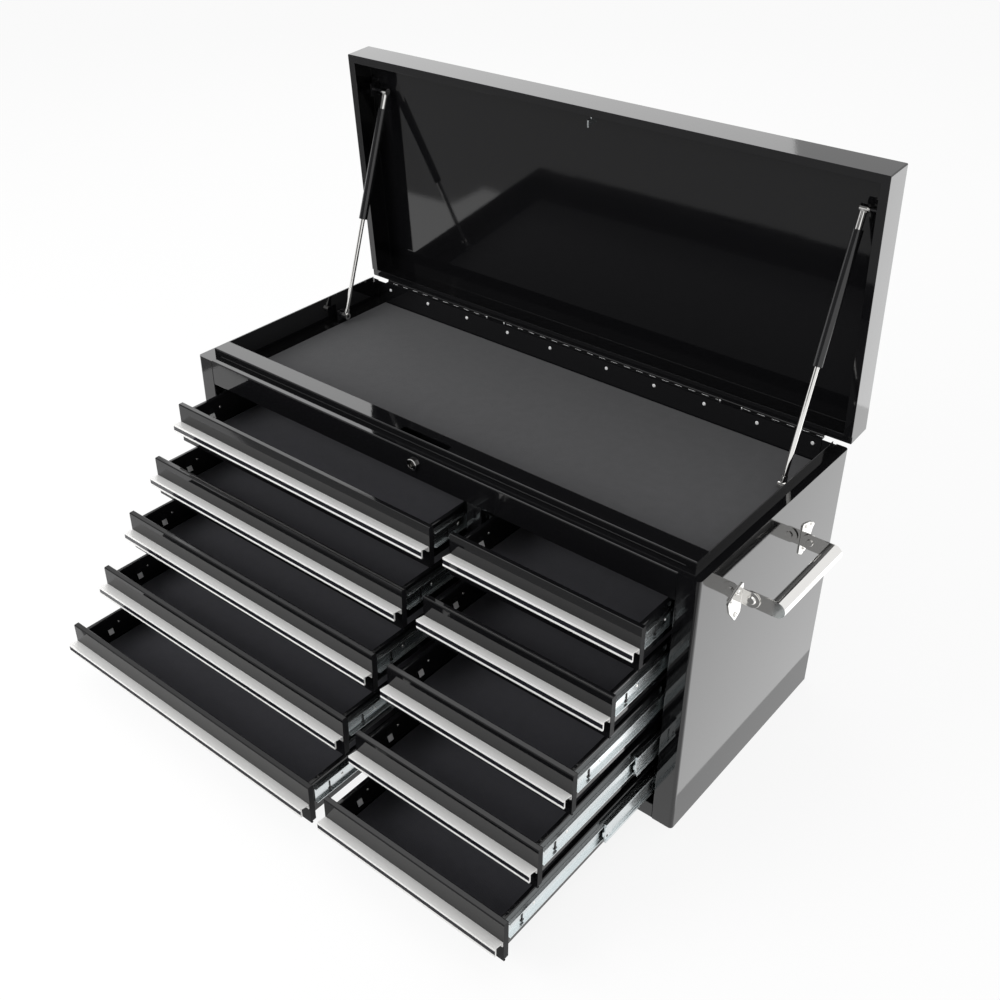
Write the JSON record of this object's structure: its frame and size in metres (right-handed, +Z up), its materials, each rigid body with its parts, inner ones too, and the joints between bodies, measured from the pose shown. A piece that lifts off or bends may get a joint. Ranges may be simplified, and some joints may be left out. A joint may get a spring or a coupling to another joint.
{
  "type": "steel tool chest",
  "caption": "Steel tool chest with side-by-side banks of slide-out drawers, a foam-lined top tray under a lid on gas struts, and folding lift handles.",
  "frame": {"origin": "centre of the case's underside, without the lid, handles and open drawers", "axes": "+Z up, +X to the right along the drawer fronts, +Y to the back, so the drawers open towards -Y"},
  "size_m": [1.181, 0.8912, 0.9336],
  "materials": {
    "black_paint": "gloss black powder coat",
    "black_steel": "satin black",
    "cylinder_black": "semi-gloss black",
    "hinge_steel": "gloss black",
    "foam": "matt grey foam mat",
    "zinc_rail": "bright zinc plate",
    "bright_steel": "bright steel",
    "white_rivet": "bright rivet",
    "stainless": "polished steel",
    "chrome": "chrome",
    "aluminium_pull": "satin extrusion"
  },
  "bodies": {
    "case": {"left_side_panel": "black_paint", "right_side_panel": "black_paint", "back_panel": "black_paint", "base_pan": "black_paint", "front_top_panel": "black_paint", "center_divider": "black_paint", "slide_support_panels": "black_paint", "tray_pan": "black_paint", "tray_mat": "foam", "case_slide_rails": "zinc_rail", "hinge_case_leaf": "hinge_steel", "hinge_pin": "bright_steel", "hinge_rivets": "white_rivet", "handle_brackets": "stainless", "handle_screws": "stainless", "handle_pivot_pins": "stainless", "strut_case_brackets": "black_steel", "lock_housing": "chrome"},
    "lid": {"lid_shell": "black_paint", "hinge_lid_leaf": "hinge_steel", "lid_catch": "zinc_rail", "strut_lid_brackets": "black_steel"},
    "left_rod": {"left_strut_rod": "chrome"},
    "left_cylinder": {"left_strut_cylinder": "cylinder_black"},
    "right_rod": {"right_strut_rod": "chrome"},
    "right_cylinder": {"right_strut_cylinder": "cylinder_black"},
    "lock": {"lock_core": "chrome"},
    "left_handle_swing": {"left_handle": "stainless"},
    "right_handle_swing": {"right_handle": "stainless"},
    "left_drawer_1": {"drawer_left_1": "black_paint", "pull_left_1": "aluminium_pull"},
    "left_slide_1": {"slide_middle_left_1": "zinc_rail"},
    "left_drawer_2": {"drawer_left_2": "black_paint", "pull_left_2": "aluminium_pull"},
    "left_slide_2": {"slide_middle_left_2": "zinc_rail"},
    "left_drawer_3": {"drawer_left_3": "black_paint", "pull_left_3": "aluminium_pull"},
    "left_slide_3": {"slide_middle_left_3": "zinc_rail"},
    "left_drawer_4": {"drawer_left_4": "black_paint", "pull_left_4": "aluminium_pull"},
    "left_slide_4": {"slide_middle_left_4": "zinc_rail"},
    "left_drawer_5": {"drawer_left_5": "black_paint", "pull_left_5": "aluminium_pull"},
    "left_slide_5": {"slide_middle_left_5": "zinc_rail"},
    "right_drawer_1": {"drawer_right_1": "black_paint", "pull_right_1": "aluminium_pull"},
    "right_slide_1": {"slide_middle_right_1": "zinc_rail"},
    "right_drawer_2": {"drawer_right_2": "black_paint", "pull_right_2": "aluminium_pull"},
    "right_slide_2": {"slide_middle_right_2": "zinc_rail"},
    "right_drawer_3": {"drawer_right_3": "black_paint", "pull_right_3": "aluminium_pull"},
    "right_slide_3": {"slide_middle_right_3": "zinc_rail"},
    "right_drawer_4": {"drawer_right_4": "black_paint", "pull_right_4": "aluminium_pull"},
    "right_slide_4": {"slide_middle_right_4": "zinc_rail"},
    "right_drawer_5": {"drawer_right_5": "black_paint", "pull_right_5": "aluminium_pull"},
    "right_slide_5": {"slide_middle_right_5": "zinc_rail"}
  },
  "joints": [
    {"name": "lid_hinge", "type": "hinge", "parent": "case", "child": "lid", "pos_m": [0, 0.229, 0.4824], "axis": [-1, 0, 0], "range_deg": [-85.34, 0]},
    {"name": "left_strut_swing", "type": "hinge", "parent": "case", "child": "left_rod", "pos_m": [-0.473, 0.1009, 0.453], "axis": [-1, 0, 0], "range_deg": [-93.2, 0]},
    {"name": "left_strut_slide", "type": "slide", "parent": "left_rod", "child": "left_cylinder", "axis": [0, 0.3192, 0.9477], "range_m": [-0.1728, 0], "stiffness_N_per_m": 116, "springref_m": 0.69},
    {"name": "right_strut_swing", "type": "hinge", "parent": "case", "child": "right_rod", "pos_m": [0.473, 0.1009, 0.453], "axis": [-1, 0, 0], "range_deg": [-93.2, 0]},
    {"name": "right_strut_slide", "type": "slide", "parent": "right_rod", "child": "right_cylinder", "axis": [0, 0.3192, 0.9477], "range_m": [-0.1728, 0], "stiffness_N_per_m": 116, "springref_m": 0.69},
    {"name": "lock_turn", "type": "hinge", "parent": "case", "child": "lock", "pos_m": [0, -0.2235, 0.459], "axis": [0, -1, 0], "range_deg": [0, 90]},
    {"name": "left_handle_fold", "type": "hinge", "parent": "case", "child": "left_handle_swing", "pos_m": [-0.538, 0, 0.381], "axis": [0, 1, 0], "range_deg": [-90, 0]},
    {"name": "right_handle_fold", "type": "hinge", "parent": "case", "child": "right_handle_swing", "pos_m": [0.538, 0, 0.381], "axis": [0, -1, 0], "range_deg": [-90, 0]},
    {"name": "left_slide_1_travel", "type": "slide", "parent": "case", "child": "left_slide_1", "axis": [0, -1, 0], "range_m": [0, 0.18]},
    {"name": "left_drawer_1_travel", "type": "slide", "parent": "left_slide_1", "child": "left_drawer_1", "axis": [0, -1, 0], "range_m": [-0.084, 0.136]},
    {"name": "left_slide_2_travel", "type": "slide", "parent": "case", "child": "left_slide_2", "axis": [0, -1, 0], "range_m": [0, 0.18]},
    {"name": "left_drawer_2_travel", "type": "slide", "parent": "left_slide_2", "child": "left_drawer_2", "axis": [0, -1, 0], "range_m": [-0.149, 0.071]},
    {"name": "left_slide_3_travel", "type": "slide", "parent": "case", "child": "left_slide_3", "axis": [0, -1, 0], "range_m": [0, 0.18]},
    {"name": "left_drawer_3_travel", "type": "slide", "parent": "left_slide_3", "child": "left_drawer_3", "axis": [0, -1, 0], "range_m": [-0.219, 0.001]},
    {"name": "left_slide_4_travel", "type": "slide", "parent": "case", "child": "left_slide_4", "axis": [0, -1, 0], "range_m": [-0.0675, 0.1125]},
    {"name": "left_drawer_4_travel", "type": "slide", "parent": "left_slide_4", "child": "left_drawer_4", "axis": [0, -1, 0], "range_m": [-0.22, 0]},
    {"name": "left_slide_5_travel", "type": "slide", "parent": "case", "child": "left_slide_5", "axis": [0, -1, 0], "range_m": [-0.146, 0.034]},
    {"name": "left_drawer_5_travel", "type": "slide", "parent": "left_slide_5", "child": "left_drawer_5", "axis": [0, -1, 0], "range_m": [-0.22, 0]},
    {"name": "right_slide_1_travel", "type": "slide", "parent": "case", "child": "right_slide_1", "axis": [0, -1, 0], "range_m": [0, 0.18]},
    {"name": "right_drawer_1_travel", "type": "slide", "parent": "right_slide_1", "child": "right_drawer_1", "axis": [0, -1, 0], "range_m": [-0.076, 0.144]},
    {"name": "right_slide_2_travel", "type": "slide", "parent": "case", "child": "right_slide_2", "axis": [0, -1, 0], "range_m": [0, 0.18]},
    {"name": "right_drawer_2_travel", "type": "slide", "parent": "right_slide_2", "child": "right_drawer_2", "axis": [0, -1, 0], "range_m": [-0.138, 0.082]},
    {"name": "right_slide_3_travel", "type": "slide", "parent": "case", "child": "right_slide_3", "axis": [0, -1, 0], "range_m": [-0.001, 0.179]},
    {"name": "right_drawer_3_travel", "type": "slide", "parent": "right_slide_3", "child": "right_drawer_3", "axis": [0, -1, 0], "range_m": [-0.22, 0]},
    {"name": "right_slide_4_travel", "type": "slide", "parent": "case", "child": "right_slide_4", "axis": [0, -1, 0], "range_m": [-0.074, 0.106]},
    {"name": "right_drawer_4_travel", "type": "slide", "parent": "right_slide_4", "child": "right_drawer_4", "axis": [0, -1, 0], "range_m": [-0.22, 0]},
    {"name": "right_slide_5_travel", "type": "slide", "parent": "case", "child": "right_slide_5", "axis": [0, -1, 0], "range_m": [-0.146, 0.034]},
    {"name": "right_drawer_5_travel", "type": "slide", "parent": "right_slide_5", "child": "right_drawer_5", "axis": [0, -1, 0], "range_m": [-0.22, 0]}
  ],
  "couplings": [
    {"joint": "left_strut_swing", "follows": "lid_hinge", "ratio": 1.0901},
    {"joint": "left_strut_slide", "follows": "lid_hinge", "m_per_rad": 0.11581},
    {"joint": "right_strut_swing", "follows": "lid_hinge", "ratio": 1.0901},
    {"joint": "right_strut_slide", "follows": "lid_hinge", "m_per_rad": 0.11581}
  ]
}
